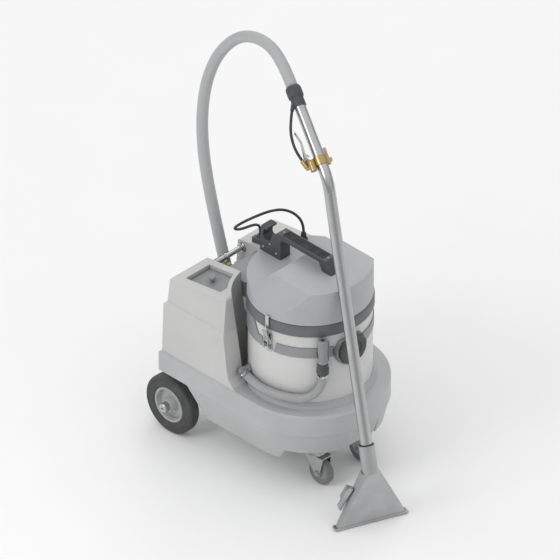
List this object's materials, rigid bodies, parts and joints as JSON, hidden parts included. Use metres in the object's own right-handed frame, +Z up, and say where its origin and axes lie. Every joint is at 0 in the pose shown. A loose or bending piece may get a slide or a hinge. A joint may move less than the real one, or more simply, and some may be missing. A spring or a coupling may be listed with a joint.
{
  "type": "spot extractor",
  "caption": "Wheeled spot extractor: rounded chassis, upright recovery drum with a lift-off motor head and latches, rear tank towers, hose and a bent spray wand.",
  "frame": {"origin": "on the floor, under the middle of the plan of the rigid pieces", "axes": "+X towards the rounded front, +Y towards the machine's left side, +Z up"},
  "size_m": [1.0054, 0.526, 1.383],
  "materials": {
    "shell": "fine moulded texture",
    "tank": "smooth rotomoulded",
    "drum": "smooth rotomoulded",
    "head": "fine moulded texture",
    "dark_plastic": "fine moulded texture",
    "grey_plastic": "smooth",
    "rubber": "dull",
    "tyre": "dull",
    "tread": "dull, non-marking",
    "hose": "smooth, slightly glossy",
    "cord": "dull",
    "steel": "brushed",
    "chrome": "polished",
    "zinc": "bright zinc plate",
    "brass": "turned",
    "aluminium": "cast, satin"
  },
  "bodies": {
    "chassis": {"chassis_base": "shell", "rear_axle": "zinc", "recovery_drum": "drum", "drum_belt": "drum", "front_port": "grey_plastic", "drain_elbow": "grey_plastic", "drain_hose": "hose", "drain_collar": "dark_plastic", "drain_plug": "grey_plastic", "drain_clip": "dark_plastic", "solution_tank": "tank", "left_housing": "tank", "power_socket": "dark_plastic", "push_bar": "steel", "bay_bridge": "grey_plastic", "quick_coupler": "brass", "pump_motor": "aluminium", "solution_pump": "dark_plastic", "inlet_elbow": "grey_plastic", "hose_cuff": "rubber", "suction_hose": "hose", "caster_plate_right": "zinc", "caster_plate_left": "zinc", "latch_base_right": "chrome", "latch_base_left": "chrome"},
    "port_cap": {"port_cap": "dark_plastic"},
    "fill_lid": {"fill_lid": "dark_plastic"},
    "head": {"head_ring": "dark_plastic", "head_cover": "head", "carry_handle": "dark_plastic", "grip_insert": "rubber", "vacuum_motor": "aluminium", "float_cage": "grey_plastic", "power_cable": "cord", "cable_boot": "rubber", "cable_plug": "dark_plastic"},
    "float": {"float_ball": "grey_plastic"},
    "wand": {"wand_tube": "steel", "wand_cuff": "rubber", "wand_head": "steel", "spray_nozzle": "brass", "solution_valve": "brass", "feed_hose": "cord"},
    "trigger": {"trigger": "steel"},
    "wheel_right": {"tyre_right": "tyre", "rim_right": "grey_plastic"},
    "fork_right": {"caster_fork_right": "zinc", "caster_bolt_right": "zinc"},
    "caster_right": {"caster_hub_right": "grey_plastic", "caster_tread_right": "tread"},
    "lever_right": {"latch_lever_right": "chrome"},
    "bail_right": {"latch_bail_right": "chrome"},
    "wheel_left": {"tyre_left": "tyre", "rim_left": "grey_plastic"},
    "fork_left": {"caster_fork_left": "zinc", "caster_bolt_left": "zinc"},
    "caster_left": {"caster_hub_left": "grey_plastic", "caster_tread_left": "tread"},
    "lever_left": {"latch_lever_left": "chrome"},
    "bail_left": {"latch_bail_left": "chrome"}
  },
  "joints": [
    {"name": "port_cap_turn", "type": "hinge", "parent": "chassis", "child": "port_cap", "pos_m": [0.23022, -0.02195, 0.518], "axis": [0.9945, -0.1045, 0], "range_deg": [0, 90]},
    {"name": "lid_lift", "type": "slide", "parent": "chassis", "child": "fill_lid", "axis": [0, 0, 1], "range_m": [0, 0.12]},
    {"name": "wand_slide", "type": "slide", "parent": "chassis", "child": "wand", "axis": [0.9354, -0.3535, 0], "range_m": [0, 0.36]},
    {"name": "head_lift", "type": "slide", "parent": "chassis", "child": "head", "axis": [0, 0, 1], "range_m": [0, 0.216]},
    {"name": "float_rise", "type": "slide", "parent": "head", "child": "float", "axis": [0, 0, 1], "range_m": [0, 0.031]},
    {"name": "trigger_squeeze", "type": "hinge", "parent": "wand", "child": "trigger", "pos_m": [0.03745, -0.0361, 1.15277], "axis": [-0.5222, 0.1973, -0.8297], "range_deg": [0, 9], "stiffness_Nm_per_rad": 0.6, "springref_deg": -5.73},
    {"name": "wheel_spin_right", "type": "hinge", "parent": "chassis", "child": "wheel_right", "pos_m": [-0.37563, 0, 0.1015], "axis": [0, 1, 0], "continuous": true},
    {"name": "fork_swivel_right", "type": "hinge", "parent": "chassis", "child": "fork_right", "pos_m": [0.13937, -0.089, 0.11], "axis": [0, 0, 1], "continuous": true},
    {"name": "caster_spin_right", "type": "hinge", "parent": "fork_right", "child": "caster_right", "pos_m": [0.16037, -0.089, 0.045], "axis": [0, 1, 0], "continuous": true},
    {"name": "lever_open_right", "type": "hinge", "parent": "chassis", "child": "lever_right", "pos_m": [0.03591, -0.20799, 0.52], "axis": [0.9976, 0.0698, 0], "range_deg": [0, 110]},
    {"name": "bail_swing_right", "type": "hinge", "parent": "lever_right", "child": "bail_right", "pos_m": [0.03591, -0.20799, 0.545], "axis": [0.9976, 0.0698, 0], "range_deg": [0, 8]},
    {"name": "wheel_spin_left", "type": "hinge", "parent": "chassis", "child": "wheel_left", "pos_m": [-0.37563, 0, 0.1015], "axis": [0, 1, 0], "continuous": true},
    {"name": "fork_swivel_left", "type": "hinge", "parent": "chassis", "child": "fork_left", "pos_m": [0.13937, 0.089, 0.11], "axis": [0, 0, 1], "continuous": true},
    {"name": "caster_spin_left", "type": "hinge", "parent": "fork_left", "child": "caster_left", "pos_m": [0.16037, 0.089, 0.045], "axis": [0, 1, 0], "continuous": true},
    {"name": "lever_open_left", "type": "hinge", "parent": "chassis", "child": "lever_left", "pos_m": [0.03591, 0.20799, 0.52], "axis": [-0.9976, 0.0698, 0], "range_deg": [0, 110]},
    {"name": "bail_swing_left", "type": "hinge", "parent": "lever_left", "child": "bail_left", "pos_m": [0.03591, 0.20799, 0.545], "axis": [-0.9976, 0.0698, 0], "range_deg": [0, 8]}
  ],
  "couplings": [
    {"joint": "head_lift", "follows": "wand_slide", "ratio": 0.6},
    {"joint": "lever_open_right", "follows": "wand_slide", "rad_per_m": 5.333},
    {"joint": "lever_open_left", "follows": "wand_slide", "rad_per_m": 5.333}
  ]
}
